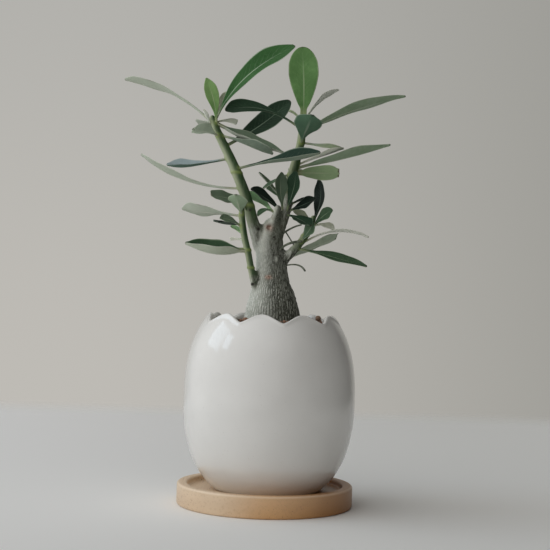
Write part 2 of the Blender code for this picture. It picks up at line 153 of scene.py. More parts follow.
# Marks on the bark: place, reach and depth in millimetres, and kind
SCARS = (
    ((-1.2, -8.8, 116.4), (1.6, 2.5, 1), 0.45, "scar"), ((-1.6, -5.6, 142), (1.7, 2.5, 1.7), 0.9, "scar"),
    ((7.5, 6.5, 104), (1.5, 1.5, 1.2), 0.4, "scar"), ((-6, 8.5, 118), (1.2, 1.2, 1.2), 0.5, "scar"),
    ((2.8, -7.6, 125.7), (0.8, 1.5, 1.6), 0.6, "pale"), ((-6.3, -3, 139), (0.7, 2, 2.4), 0.3, "pale"),
    ((-8.9, -7.6, 112.7), (0.9, 1.2, 0.8), 0.5, "spot"), ((-9.4, -4.2, 146), (0.9, 1.4, 0.8), 0.4, "spot"),
    ((-7.2, -4.4, 141), (0.8, 1.4, 0.7), 0.4, "spot"), ((-11.5, -6.6, 150.5), (0.6, 1.2, 0.6), 0.3, "spot"),
    ((5.6, -4.6, 138), (0.9, 1.4, 1.1), 0.5, "spot"), ((1.2, -6.2, 137), (0.6, 1.4, 0.6), 0.2, "spot"),
)

# Dried stalks between the stems: radii at both ends and three points on each, in millimetres
STALKS = (
    ("dried_stalk_upper", (0.55, 0.4), ((6, -1.5, 139.5), (10.5, -4, 142.2), (14.8, -5, 143.7))),
    ("dried_stalk_lower", (0.38, 0.3), ((7.2, -3, 139.9), (9.25, -3.5, 136.75), (11.3, -4, 133.6))),
    ("dried_stalk_arc", (0.5, 0.7), ((4, -4, 130.2), (8.4, -6, 133.7), (15, -7, 135.1))),
    ("dried_thread", (0.32, 0.5), ((6.5, -2, 122.4), (13.3, -5, 123.2), (17.4, -7, 120.3))),
)
STALK_ROWS = 22
STALK_COLUMNS = 10

# Studio: a table whose edges fade out in front of a far, pale backdrop that glows in place of a lit wall
TABLE_FADE = (0.57, 0.43)
TABLE_HALF = 0.6
# The table's colour in painted light towards -X and in painted shade towards +X, and the span in x where the
# painted shade comes in
TABLE_COLOURS = ((0.95, 0.94, 0.925), (0.8, 0.8, 0.78))
TABLE_PAINTED_SHADE = (-0.25, 0.2)
BACKDROP_RADIUS = 4
# The backdrop's glow low down and high up, then in painted shade to the right, and where the glow dims in z
# and the painted shade comes in, in x
BACKDROP_LOW = (0.515, 0.497, 0.462)
BACKDROP_HIGH = (0.44, 0.434, 0.41)
BACKDROP_SHADED = (0.3, 0.296, 0.272)
BACKDROP_RISE = (-0.3, 1.6)
BACKDROP_SHADE = (-0.9, 2.1)
# Soft light: brightest towards SKY_TOWARDS and dark on the other side, with a pale wall behind
SKY_TOWARDS = (-0.86, -0.42, 0.36)
SKY_BRIGHT = (1.03, 1.02, 1.0)
SKY_DARK = (0.022, 0.02, 0.017)
SKY_FADE = (-0.17, 0.9)
WALL_TOWARDS = (0, 1, 0.1)
WALL_FADE = (0.68, 0.9)
WALL_GREY = (0.42, 0.41, 0.38)
WINDOWS = (
    ("window", (-1.2, 0.1, 0.8), (0.6, 0.55), 1.5),
    ("window_pane", (-1.13, -0.37, 0.8), (0.26, 0.34), 0.6),
)
WINDOW_AIM = (0, 0, 0.1)
WINDOW_COLOUR = (0.8, 1.0, 1.2)

# Leaves
LEAF_SHARES = (0, 0.08, 0.2, 0.34, 0.48, 0.62, 0.75, 0.87, 0.95, 1)
LEAF_ROWS = 52
LEAF_COLUMNS = 17
BLADE_THICKNESS = 0.5 * MM
RIB_HEIGHT = 0.3 * MM
PETIOLE_DEPTH = 0.5 * MM
INTO_STEM = 1.2 * MM
# Half widths between which a leaf's stalk becomes its blade
STALK_TO_BLADE = (0.9 * MM, 2.4 * MM)
RIB_HALF_WIDTH = 0.55 * MM
# Shares of a leaf's half width by which its margin waves and its blade twists
MARGIN_WAVE = 0.07
BLADE_TWIST = 0.1
# Depth of the jags at a broken end, as a share of the leaf's length
JAG_DEPTH = 0.06
BROKEN = ("right_stem_leaf_09", "caudex_leaf_01")
SIDE_VEINS = 15
VEIN_SLANT = 2.6
# A leaf's two sides: name, roughness, strength of the side veins and width of the midrib
LEAF_SIDES = (("upper", 0.45, 0.09, 0.105), ("under", 0.55, 0.13, 0.15))
# Each kind of leaf: its leaves, by their stem's initials, H for a shoot, and number. Then, above and below,
# the colours of its blade, its shading, its midrib and its worn margin, in thousandths. The rest are mature
LEAF_KINDS = {
    "mature": (
        "",
        ((60, 110, 58), (42, 82, 44), (240, 320, 200), (60, 50, 30)),
        ((280, 350, 240), (220, 290, 190), (420, 470, 350), (100, 100, 60)),
    ),
    "arch": (
        "LS04",
        ((36, 115, 30), (24, 85, 21), (400, 500, 360), (50, 70, 30)),
        ((150, 240, 130), (120, 200, 100), (380, 450, 300), (70, 80, 40)),
    ),
    # Bright young green, raised further by painted light for leaves that sit in shade
    "fresh": (
        "CSH01 LSH05",
        ((400, 640, 350), (320, 560, 270), (450, 600, 350), (120, 150, 60)),
        ((300, 480, 240), (240, 400, 190), (450, 580, 350), (120, 150, 60)),
    ),
    "young": (
        "LS02",
        ((240, 410, 145), (178, 333, 109), (500, 600, 360), (200, 170, 60)),
        ((260, 380, 160), (210, 320, 130), (380, 450, 260), (200, 170, 80)),
    ),
    "upright": (
        "RS01",
        ((140, 275, 95), (95, 205, 65), (300, 420, 220), (70, 80, 35)),
        ((240, 340, 160), (200, 290, 130), (360, 430, 270), (100, 100, 50)),
    ),
    "deep": (
        "LS05 RS02 RS13 RS16",
        ((26, 58, 31), (18, 40, 22), (200, 270, 190), (55, 38, 28)),
        ((75, 115, 75), (55, 90, 58), (200, 260, 180), (60, 50, 35)),
    ),
    # Dark green deepened by painted shade, for leaves that sit in shadow inside the cluster
    "dark": (
        "RS14 RS15 RS18 RSH01 LSH04",
        ((11, 20, 15), (7, 14, 10), (150, 210, 160), (25, 20, 18)),
        ((40, 62, 45), (30, 45, 35), (130, 180, 130), (35, 30, 25)),
    ),
    "vee": (
        "LS10 LS11",
        ((22, 50, 34), (14, 36, 24), (340, 420, 330), (50, 40, 30)),
        ((240, 300, 230), (180, 235, 180), (500, 560, 450), (120, 90, 60)),
    ),
    "cup": (
        "LSH06",
        ((62, 120, 62), (44, 90, 46), (340, 420, 280), (80, 50, 40)),
        ((520, 570, 460), (440, 490, 380), (660, 690, 580), (120, 90, 60)),
    ),
    "sage": (
        "RS04 RS08 LSH01",
        ((60, 115, 58), (42, 88, 46), (280, 360, 240), (70, 60, 40)),
        ((300, 390, 270), (230, 320, 200), (480, 540, 410), (100, 90, 60)),
    ),
    "light_sage": (
        "LS06 RS06 RS10 RS17 RSH04 C01",
        ((100, 165, 95), (75, 130, 75), (340, 420, 300), (70, 60, 40)),
        ((460, 540, 420), (370, 450, 330), (620, 660, 550), (100, 90, 60)),
    ),
    # Painted glare: a pale blue-grey upper side for the sky mirrored in it, and an underside darkened by
    # painted shade
    "blue": (
        "LS12",
        ((290, 350, 360), (230, 290, 300), (420, 480, 450), (50, 60, 45)),
        ((75, 130, 100), (58, 105, 80), (240, 300, 260), (80, 80, 60)),
    ),
    "spoon": (
        "RS05",
        ((50, 95, 60), (38, 76, 48), (240, 310, 230), (50, 60, 45)),
        ((82, 155, 96), (62, 122, 75), (260, 330, 250), (50, 60, 45)),
    ),
    "pale": (
        "LS01 LS07 LS09 LS13 LS14 LSH02 LSH03 RS11 RS12",
        ((150, 205, 140), (110, 160, 105), (360, 420, 300), (120, 100, 70)),
        ((430, 470, 390), (370, 420, 330), (600, 620, 530), (160, 140, 100)),
    ),
    # Pale straw leaves, their colour raised further by painted light that stands for light shining through
    # the blade
    "straw": (
        "LS03 LS08 LSH07 RS03 RS07 RSH03 RSH05 RSH06",
        ((740, 770, 580), (670, 710, 510), (720, 730, 580), (320, 300, 200)),
        ((800, 820, 680), (730, 760, 620), (740, 750, 630), (340, 310, 230)),
    ),
    "olive": (
        "RS09",
        ((225, 305, 165), (170, 245, 125), (380, 430, 280), (170, 110, 85)),
        ((300, 360, 220), (240, 300, 170), (420, 450, 310), (180, 120, 90)),
    ),
}
# Young leaves that have no node: base, reach, push of the middle, half width, up, fold and kind
EXTRA_LEAVES = {
    "young_leaf_right_stem": (
        (12.6, 0.5, 199.2), (-5.6, 3, 4.4), (0.2, 0, 0.6), 1.5, (0, 0.4, 0.9), 0.2, "olive"
    ),
    # This young leaf is pale straw, raised further by painted light that shines through the blade
    "young_leaf_left_stem": (
        (-33, -6.5, 194), (-3.4, -5, 6.5), (0, 0, 0.3), 1.3, (0.3, 0.4, 0.8), 0.3, "straw"
    ),
}


# Noise and curves


def lattice_noise(points, seed):
    """Smooth noise from -1 to 1 at points whose unit is one cell."""
    cell = np.floor(points).astype(np.int64)
    t = points - cell
    t = t * t * t * (t * (t * 6 - 15) + 10)
    total = np.zeros(len(points))
    for corner in itertools.product((0, 1), repeat=3):
        at = (cell + corner) @ (73856093, 19349663, 83492791) + seed * 7919
        at = (at ^ (at >> 13)) * 1274126177
        value = ((at ^ (at >> 16)) & 0xFFFF) / 32767.5 - 1
        total += value * np.prod(np.where(corner, t, 1 - t), axis=1)
    return total


def unit(vectors):
    return vectors / np.linalg.norm(vectors, axis=-1, keepdims=True)


def smooth_step(value, low, high):
    t = np.clip((value - low) / (high - low), 0, 1)
    return t * t * (3 - 2 * t)


def monotone(xs, ys, at):
    """A smooth curve through (xs, ys) that never overshoots, read at the values in at."""
    xs = np.array(xs)
    step = np.diff(xs)
    rise = np.diff(ys) / step
    slope = np.concatenate([rise[:1], np.zeros(len(xs) - 2), rise[-1:]])
    same = rise[:-1] * rise[1:] > 0
    mean = 2 * rise[:-1] * rise[1:] / np.where(same, rise[:-1] + rise[1:], 1)
    slope[1:-1] = np.where(same, mean, 0)
    i = np.clip(np.searchsorted(xs, at) - 1, 0, len(step) - 1)
    t = (at - xs[i]) / step[i]
    return (
        ys[i] * (1 + 2 * t) * (1 - t) ** 2
        + slope[i] * step[i] * t * (1 - t) ** 2
        + ys[i + 1] * t * t * (3 - 2 * t)
        + slope[i + 1] * step[i] * t * t * (t - 1)
    )


# Pieces


def added(name, data):
    """A new object in the scene."""
    obj = bpy.data.objects.new(name, data)
    bpy.context.scene.collection.objects.link(obj)
    return obj


def read(items, what, width=1, kind=np.int32):
    """One property of a mesh's vertices, corners or triangles, as an array with a row for each."""
    values = np.zeros(len(items) * width, kind)
    items.foreach_get(what, values)
    return values.reshape(-1, width)


def vertices(mesh):
    return read(mesh.vertices, "co", 3, np.float32).astype(float)


def piece(name, points, faces, materials, replaces=(), skins=None, places=None, weld=True):
    """A closed mesh on the root body. skins are its faces' materials, places its points on a leaf's map."""
    mesh = bpy.data.meshes.new(name)
    mesh.from_pydata(points.tolist(), [], faces)
    for material in materials:
        mesh.materials.append(material)
    if skins is not None:
        mesh.polygons.foreach_set("material_index", skins)
    if places is not None:
        corners = read(mesh.loops, "vertex_index").ravel()
        layer = mesh.uv_layers.new(name="leaf")
        layer.data.foreach_set("uv", places.astype(np.float32)[corners].ravel())
    shape = bmesh.new()
    shape.from_mesh(mesh)
    if weld:
        bmesh.ops.remove_doubles(shape, verts=shape.verts, dist=0.001 * MM)
    if shape.calc_volume(signed=True) < 0:
        bmesh.ops.reverse_faces(shape, faces=shape.faces)
    shape.to_mesh(mesh)
    shape.free()
    mesh.shade_smooth()
    obj = added(name, mesh)
    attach(obj, "root")
    if replaces:
        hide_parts(*replaces)
    return obj


def store(mesh, name, values):
    """Keeps one number for each vertex, for a material to read."""
    layer = mesh.attributes.new(name, "FLOAT", "POINT")
    layer.data.foreach_set("value", np.asarray(values, np.float32))


def ring_faces(rows, columns):
    """Quads between rings of a closed tube, row after row."""
    faces = []
    for a in range(0, (rows - 1) * columns, columns):
        for i in range(columns):
            j = (i + 1) % columns
            faces.append((a + i, a + j, a + columns + j, a + columns + i))
    return faces


def grid_normals(points, quads):
    """Unit normals of the vertices of a mesh of quads."""
    across = np.cross(points[quads[:, 2]] - points[quads[:, 0]], points[quads[:, 3]] - points[quads[:, 1]])
    normals = np.zeros_like(points)
    for k in range(4):
        np.add.at(normals, quads[:, k], across)
    return unit(normals)


# Materials


class Nodes:
    """A node tree written as nested calls. An input takes a number, a colour or another node's output."""

    def __init__(self, tree):
        self.tree = tree

    def put(self, socket, value):
        if isinstance(value, bpy.types.NodeSocket):
            self.tree.links.new(value, socket)
        elif socket.type == "RGBA":
            socket.default_value = (*value, 1)
        else:
            socket.default_value = value

    def node(self, kind, inputs, output=0, **settings):
        made = self.tree.nodes.new("ShaderNode" + kind)
        for name, value in settings.items():
            setattr(made, name, value)
        for key, value in inputs.items():
            self.put(made.inputs[key], value)
        return made.outputs[output]

    def math(self, operation, a, b=0.0):
        return self.node("Math", {0: a, 1: b}, operation=operation)

    def plus(self, a, b):
        return self.math("ADD", a, b)

    def minus(self, a, b):
        return self.math("SUBTRACT", a, b)

    def times(self, a, b):
        return self.math("MULTIPLY", a, b)

    def parts(self, vector):
        """A vector's x, y and z."""
        return self.node("SeparateXYZ", {0: vector}, output=slice(3))

    def mix(self, share, a, b):
        return self.node("Mix", {0: share, 6: a, 7: b}, output=2, data_type="RGBA")

    def tint(self, colour, mask, amount, other):
        """A colour with the given amount of another laid over it where the mask is 1."""
        return self.mix(self.times(mask, amount), colour, other)

    def step(self, value, low, high):
        """0 below low and 1 above high, or the other way round when low is the greater."""
        inputs = {"Value": value, "From Min": low, "From Max": high}
        return self.node("MapRange", inputs, interpolation_type="SMOOTHSTEP")


class Shading(Nodes):
    """A material of one Principled shader."""

    def __init__(self, name):
        self.material = bpy.data.materials.new(name)
        self.material.use_nodes = True
        super().__init__(self.material.node_tree)

    def set(self, **inputs):
        shader = self.tree.nodes["Principled BSDF"]
        for name, value in inputs.items():
            self.put(shader.inputs[name.replace("_", " ")], value)

    def coordinates(self, stretch=(1, 1, 1)):
        return self.node("Mapping", {"Vector": self.node("TexCoord", {}, "Object"), "Scale": stretch})

    def noise(self, scale, detail, stretch=(1, 1, 1)):
        inputs = {"Vector": self.coordinates(stretch), "Scale": scale, "Detail": detail}
        return self.node("TexNoise", inputs)

    def attribute(self, name):
        return self.node("Attribute", {}, "Fac", attribute_name=name)

    def bump(self, height, depth, strength):
        inputs = {"Height": height, "Distance": depth, "Strength": strength}
        self.set(Normal=self.node("Bump", inputs))


def leaf_material(name, blade, shade, rib, rim, roughness, vein_strength, rib_width):
    """A leaf's skin. Its map runs across the blade in x and along it in y."""
    s = Shading(name)
    sideways, along, _ = s.parts(s.node("UVMap", {}, uv_map="leaf"))
    across = s.times(s.math("ABSOLUTE", s.minus(sideways, 0.5)), 2)
    cloud = s.plus(s.noise(75, 3), s.times(s.minus(s.noise(420, 3), 0.5), 0.5))
    colour = s.mix(s.step(cloud, 0.3, 0.7), blade, shade)
    colour = s.tint(colour, s.attribute("vary"), 0.45, np.minimum(1.5 * blade, 1))
    phase = s.minus(s.times(along, SIDE_VEINS), s.times(across, VEIN_SLANT))
    phase = s.plus(phase, s.times(s.noise(160, 2), 1.4))
    wave = s.math("SINE", s.times(phase, math.tau))
    veins = s.times(s.step(wave, 0.7, 1), s.step(across, 0.92, 0.2))
    colour = s.tint(colour, veins, vein_strength, rib)
    colour = s.tint(colour, s.step(s.noise(1500, 2), 0.6, 0.75), 0.1, rib)
    colour = s.mix(s.step(along, 0.16, 0.02), colour, s.mix(0.45, rib, (0.26, 0.27, 0.1)))
    rib_edge = s.minus(rib_width, s.times(along, 0.085))
    on_rib = s.step(s.math("DIVIDE", across, rib_edge), 1.1, 0.45)
    colour = s.tint(colour, s.times(on_rib, s.step(along, 1, 0.45)), 0.85, rib)
    margin = s.times(s.step(across, 0.9, 0.97), s.step(along, 0.06, 0.25))
    colour = s.tint(colour, margin, 0.75, rib)
    worn = s.times(s.step(across, 0.88, 0.98), s.step(s.noise(90, 2), 0.58, 0.7))
    colour = s.tint(colour, s.math("MAXIMUM", worn, s.step(along, 0.975, 1)), 0.7, rim)
    s.set(Base_Color=colour, Specular_IOR_Level=0.12)
    s.set(Roughness=s.plus(s.times(s.noise(300, 2), 0.18), roughness))
    s.bump(s.plus(s.times(veins, 0.5), s.times(s.noise(900, 3), 0.5)), 0.12 * MM, 0.7)
    return s.material


def bark_material():
    """Skin of the caudex and stems: grey bark with pale wrinkles that turns green on the young wood. Its
    colours are painted lighter on the side that faces the light and darker, as painted shade, on the other.
    """
    s = Shading("stem_skin")
    # The bark's painted light: 1 where its surface faces the light, 0 where it is in painted shade
    green, sunny, high = (s.attribute(name) for name in ("green", "sunny", "fresh"))
    fine = s.noise(1, 3, (1300, 1300, 420))
    thread = s.step(s.math("ABSOLUTE", s.minus(fine, 0.5)), 0.06, 0)
    pale = s.math("MAXIMUM", s.times(thread, 0.45), s.attribute("crest"))
    patch = s.step(s.noise(95, 4), 0.35, 0.65)
    # Each bark colour is a copy in painted shade and a copy in painted light, mixed by the surface's facing
    dull, fresh, young = (
        s.mix(patch, s.mix(sunny, *ground), s.mix(sunny, *patches))
        for ground, patches in np.array(BARK_COLOURS) / 1000
    )
    mottle = s.times(s.step(s.noise(330, 3), 0.5, 0.66), high)
    # The brown mottle high on the caudex also has a copy in painted shade and one in painted light
    fresh = s.tint(fresh, mottle, 0.5, s.mix(sunny, (0.085, 0.075, 0.052), (0.34, 0.29, 0.21)))
    # Pale crests, painted bright on the side that faces the light and duller, as painted shade, on the other
    crests = s.mix(sunny, (0.48, 0.495, 0.43), (0.94, 0.95, 0.9))
    bark = s.tint(s.mix(high, dull, fresh), pale, 0.9, crests)
    streak = s.step(s.noise(1, 2, (500, 500, 50)), 0.45, 0.7)
    colour = s.mix(green, bark, s.tint(young, streak, 0.12, (0.33, 0.38, 0.26)))
    colour = s.tint(colour, s.attribute("node"), 0.75, (0.3, 0.38, 0.1))
    speck = s.step(s.noise(700, 2), 0.4, 0.6)
    colour = s.mix(s.attribute("scar"), colour, s.mix(speck, (0.2, 0.115, 0.08), (0.62, 0.47, 0.39)))
    colour = s.mix(s.attribute("spot"), colour, (0.03, 0.028, 0.02))
    s.set(Base_Color=colour, Specular_IOR_Level=0.3, Roughness=s.minus(0.8, s.times(green, 0.2)))
    height = s.times(thread, s.minus(1, s.times(green, 0.85)))
    s.bump(s.plus(height, s.times(s.noise(1600, 3), 0.5)), 0.2 * MM, 0.8)
    return s.material


def glaze_material():
    """White glaze with a few pinholes, thinner over the lip, and bare clay under the foot."""
    s = Shading("white_glaze")
    colour = s.mix(s.step(s.noise(28, 3), 0.3, 0.7), (0.8, 0.79, 0.765), (0.75, 0.74, 0.715))
    colour = s.tint(colour, s.step(s.noise(1400, 1), 0.73, 0.78), 0.25, (0.42, 0.38, 0.33))
    colour = s.tint(colour, s.attribute("lip"), 0.2, (0.68, 0.66, 0.62))
    bare = s.attribute("bare")
    clay = s.mix(s.step(s.noise(900, 3), 0.35, 0.65), (0.62, 0.55, 0.46), (0.5, 0.43, 0.35))
    s.set(Base_Color=s.mix(bare, colour, clay), IOR=1.5, Coat_Weight=0.4, Coat_Roughness=0.06)
    smear = s.plus(s.times(s.noise(60, 3), 0.1), 0.08)
    s.set(Roughness=s.plus(smear, s.times(bare, 0.55)))
    s.bump(s.plus(s.noise(130, 2), s.times(s.noise(900, 1), 0.05)), 0.25 * MM, 0.35)
    return s.material


def wood_material():
    """Pale oiled wood with a painted reflection of the light that makes it paler towards -X, and painted
    shade that darkens it towards +X. Its grain runs along Y, so that the front shows end grain.
    """
    s = Shading("saucer_wood")
    x, _, _ = s.parts(s.coordinates())
    # Painted reflection: the wood is paler and greyer towards -X, where its coat would mirror the light
    tone = s.mix(s.step(x, -25 * MM, 5 * MM), (0.69, 0.515, 0.345), (0.64, 0.365, 0.16))
    # Painted shade: the wood darkens towards +X, away from the light
    tone = s.mix(s.step(x, 2 * MM, 44 * MM), tone, (0.35, 0.145, 0.034))
    grain = s.noise(1, 4, (900, 14, 900))
    bands = s.step(s.noise(1, 3, (60, 4, 190)), 0.32, 0.68)
    colour = s.tint(tone, bands, 0.45, s.mix(0.25, tone, (0.28, 0.14, 0.06)))
    colour = s.tint(colour, s.step(grain, 0.5, 0.72), 0.22, (0.37, 0.195, 0.085))
    pores = s.step(s.noise(1, 2, (2100, 50, 900)), 0.63, 0.72)
    clusters = s.step(s.noise(1, 2, (70, 6, 70)), 0.45, 0.62)
    fleck = s.times(pores, s.plus(s.times(clusters, 0.7), 0.16))
    colour = s.mix(fleck, colour, (0.27, 0.125, 0.06))
    # Painted highlight: the top of the rim's outer edge is paler, where it catches the light
    colour = s.tint(colour, s.attribute("edge"), 0.6, s.mix(0.75, tone, (0.95, 0.8, 0.63)))
    s.set(Base_Color=colour, Coat_Weight=0.35, Coat_Roughness=0.34, Specular_IOR_Level=0.3)
    s.set(Roughness=s.plus(s.times(grain, 0.25), 0.38))
    s.bump(s.minus(s.times(grain, 0.4), s.times(pores, 0.6)), 0.1 * MM, 0.5)
    return s.material


def soil_material():
    s = Shading("potting_mix")
    tone = s.attribute("tone")
    dark = s.mix(s.step(s.noise(420, 4), 0.35, 0.65), (0.09, 0.072, 0.05), (0.19, 0.155, 0.112))
    colour = s.mix(s.step(tone, 0.3, 0.62), dark, (0.3, 0.165, 0.105))
    colour = s.mix(s.step(tone, 0.78, 0.97), colour, (0.58, 0.43, 0.33))
    s.set(Base_Color=colour, Roughness=0.92)
    s.bump(s.noise(1300, 5), 0.4 * MM, 1)
    return s.material


def dry_material():
    s = Shading("dried_stalk")
    colour = s.mix(s.step(s.noise(500, 3), 0.35, 0.65), (0.06, 0.072, 0.048), (0.15, 0.17, 0.12))
    s.set(Base_Color=colour, Roughness=0.8)
    s.bump(s.noise(1, 2, (1500, 1500, 300)), 0.1 * MM, 0.6)
    return s.material


# Pot, saucer and soil


def moved(points):
    """From the pot's own axis to where the pot stands."""
    return points + (POT_AT, 0, 0)


def egg_radius(z, inset=0.0):
    share = np.abs(z - EGG_HALF_HEIGHT) / (EGG_HALF_HEIGHT - inset)
    return (EGG_RADIUS - inset) * (1 - share**EGG_POWER) ** (1 / EGG_POWER)


def rim_height(angle):
    """Height of the scalloped rim at an angle in degrees from the front, towards the right."""
    for low, high in zip(NOTCH_ANGLES, NOTCH_ANGLES[1:] + (NOTCH_ANGLES[0] + 360,)):
        turned = (angle - low) % 360
        if turned <= high - low:
            share = turned / (high - low)
            return RIM_NOTCH + (RIM_PEAK - RIM_NOTCH) * math.sin(math.pi * share) ** SCALLOP_POWER
    return RIM_NOTCH


def turned(columns, profile_at):
    """Points and faces of a turned body, from its closed (r, z) loop at each angle in degrees."""
    points = []
    for i in range(columns):
        angle = 360 * i / columns
        turn = math.radians(angle)
        points += [(r * math.sin(turn), -r * math.cos(turn), z) for r, z in profile_at(angle)]
    faces = ring_faces(columns + 1, len(points) // columns)
    return np.array(points), [[i % len(points) for i in face] for face in faces]


def towards_base(count):
    """Shares from 1 down to 0 that crowd together towards 0, where the egg curves in."""
    return 1 - np.sin(np.linspace(0, math.pi / 2, count))


def pot_profile(angle):
    """Closed loop: over the lip, down the outside, across the base and up the inside."""
    half = POT_WALL / 2 - LIP_THINNING
    shoulder = rim_height(angle) - half
    floor = POT_BOTTOM + POT_BASE_THICKNESS
    recess = POT_BOTTOM + FOOT_RECESS
    foot = egg_radius(POT_BOTTOM)
    middle = egg_radius(shoulder) - half
    turns = np.linspace(math.pi, 0, LIP_STEPS + 2)[1:-1]
    lip = [(middle + half * math.cos(t), shoulder + half * math.sin(t)) for t in turns]
    outer = POT_BOTTOM + (shoulder - POT_BOTTOM) * towards_base(POT_ROWS)
    base = [(foot - FOOT_WIDTH, POT_BOTTOM), (foot - FOOT_WIDTH - FOOT_RECESS, recess)]
    base += [(DRAIN_RADIUS, recess), (DRAIN_RADIUS, floor)]
    inner = floor + (shoulder - floor) * towards_base(POT_ROWS // 2)[::-1]
    thinner = 2 * LIP_THINNING * smooth_step(inner, shoulder - LIP_REACH, shoulder)
    return [*lip, *zip(egg_radius(outer), outer), *base, *zip(egg_radius(inner, POT_WALL - thinner), inner)]


def arc(r, z, start, end):
    """Points round the saucer's rounded edge about (r, z), between two angles in degrees."""
    turns = np.radians(np.linspace(start, end, EDGE_STEPS + 1))
    return [(r + SAUCER_EDGE * math.cos(t), z + SAUCER_EDGE * math.sin(t)) for t in turns]


def saucer_profile(_angle):
    """Closed loop: over the recessed floor, over the rim, down the side and back along the base."""
    edge = SAUCER_EDGE
    recess = SAUCER_RADIUS - SAUCER_RIM
    line = [(r, SAUCER_FLOOR) for r in np.linspace(0, recess - edge, 14)[:-1]]
    line += arc(recess - edge, SAUCER_FLOOR + edge, -90, 0)
    line += arc(recess + edge, SAUCER_HEIGHT - edge, 180, 90)
    line += arc(SAUCER_RADIUS - edge, SAUCER_HEIGHT - edge, 90, 0)
    line += arc(SAUCER_RADIUS - edge, edge, 0, -90)
    return line + [(r, 0) for r in np.linspace(SAUCER_RADIUS - edge, 0, 10)[1:]]


def build_pot():
    points, faces = turned(POT_COLUMNS, pot_profile)
    radius = np.hypot(points[:, 0], points[:, 1])
    swell = lattice_noise(points / POT_SWELL_REACH, 3) * smooth_step(points[:, 2], 95 * MM, 60 * MM)
    points[:, :2] *= (1 + POT_SWELL * swell / np.maximum(radius, MM))[:, None]
    pot = piece("pot_glazed", moved(points), faces, [glaze_material()], ["pot"]).data
    x, y, z = (vertices(pot) - (POT_AT, 0, 0)).T
    below = np.array([rim_height(a) for a in np.degrees(np.arctan2(x, -y))]) - z
    store(pot, "lip", smooth_step(below, 2.2 * MM, 0.2 * MM))
    store(pot, "bare", smooth_step(z, POT_BOTTOM + 0.5 * MM, POT_BOTTOM + 0.1 * MM))


def build_saucer():
    points, faces = turned(SAUCER_COLUMNS, saucer_profile)
    saucer = piece("saucer_turned", points, faces, [wood_material()], ["saucer"]).data
    x, y, z = vertices(saucer).T
    # Where the saucer's painted highlight lies: along the top of its outer edge
    on_side = smooth_step(np.hypot(x, y), SAUCER_RADIUS - 1.4 * MM, SAUCER_RADIUS - 0.4 * MM)
    store(saucer, "edge", on_side * smooth_step(z, SAUCER_HEIGHT - 2 * MM, SAUCER_HEIGHT))


def soil_height(radius):
    return np.interp(radius, SOIL_RADII, SOIL_HEIGHTS)


def crust_profile(_angle):
    """Closed loop of a thin ring over the soil, between the caudex and the pot's wall."""
    wall = egg_radius(SOIL_HEIGHTS[-1], POT_WALL) - CRUST_GAP
    top = [(r, soil_height(r) + CRUST_LIFT) for r in np.linspace(CRUST_FROM, wall, CRUST_RINGS)]
    return top + [(r, z - CRUST_THICKNESS) for r, z in top[::-1]]


def granule(shape, place, dice):
    """One crumb: a sphere's points squeezed, roughened and turned at random."""
    radius, angle, height, size, _tone = place
    centre = (radius * math.sin(angle), -radius * math.cos(angle), height)
    squeeze = dice.uniform(0.7, 1.15, 3)
    rough = 1 + 0.22 * lattice_noise(shape * 1.6 + dice.uniform(0, 90, 3), 5)
    axis = dice.normal(size=3)
    turn = Matrix.Rotation(dice.uniform(0, math.tau), 3, Vector(axis).normalized())
    return (shape * squeeze * rough[:, None] * size) @ np.array(turn).T + centre


def build_soil():
    """Keeps the soil's node, and lays a lumpy crust and loose granules on it."""
    material = soil_material()
    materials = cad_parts["soil"].data.materials
    materials.clear()
    materials.append(material)
    points, faces = turned(CRUST_COLUMNS, crust_profile)
    raised = points[:, 2] > soil_height(np.hypot(points[:, 0], points[:, 1]))
    lumps = 0.35 * lattice_noise(points / (1.7 * MM), 7) + 0.22 * lattice_noise(points / (0.8 * MM), 8)
    points[:, 2] += raised * lumps * MM
    piece("soil_surface", moved(points), faces, [material])

    ball = bmesh.new()
    bmesh.ops.create_icosphere(ball, subdivisions=2, radius=1)
    shape = np.array([v.co[:] for v in ball.verts])
    sides = np.array([[v.index for v in face.verts] for face in ball.faces])
    ball.free()
    dice = np.random.default_rng(SEED)
    places = []
    while len(places) < GRANULES:
        radius = math.sqrt(dice.uniform(GRANULE_RADII[0] ** 2, GRANULE_RADII[1] ** 2))
        angle = dice.uniform(0, math.tau)
        size = GRANULE_SIZE + GRANULE_EXTRA * dice.random() ** 2.2
        height = soil_height(radius) + size * dice.uniform(0.1, 0.9)
        if radius + 1.3 * size < egg_radius(height + size, POT_WALL):
            places.append((radius, angle, height, size, dice.random() ** 1.6))
    places += [(r * MM, math.radians(a), z * MM, size * MM, tone) for a, r, z, size, tone in CHUNKS]
    crumbs = [granule(shape, place, dice) for place in places]
    faces = [face for k in range(len(places)) for face in (sides + k * len(shape)).tolist()]
    granules = piece("soil_granules", moved(np.concatenate(crumbs)), faces, [material])
    store(granules.data, "tone", np.repeat([place[-1] for place in places], len(shape)))


# Stems


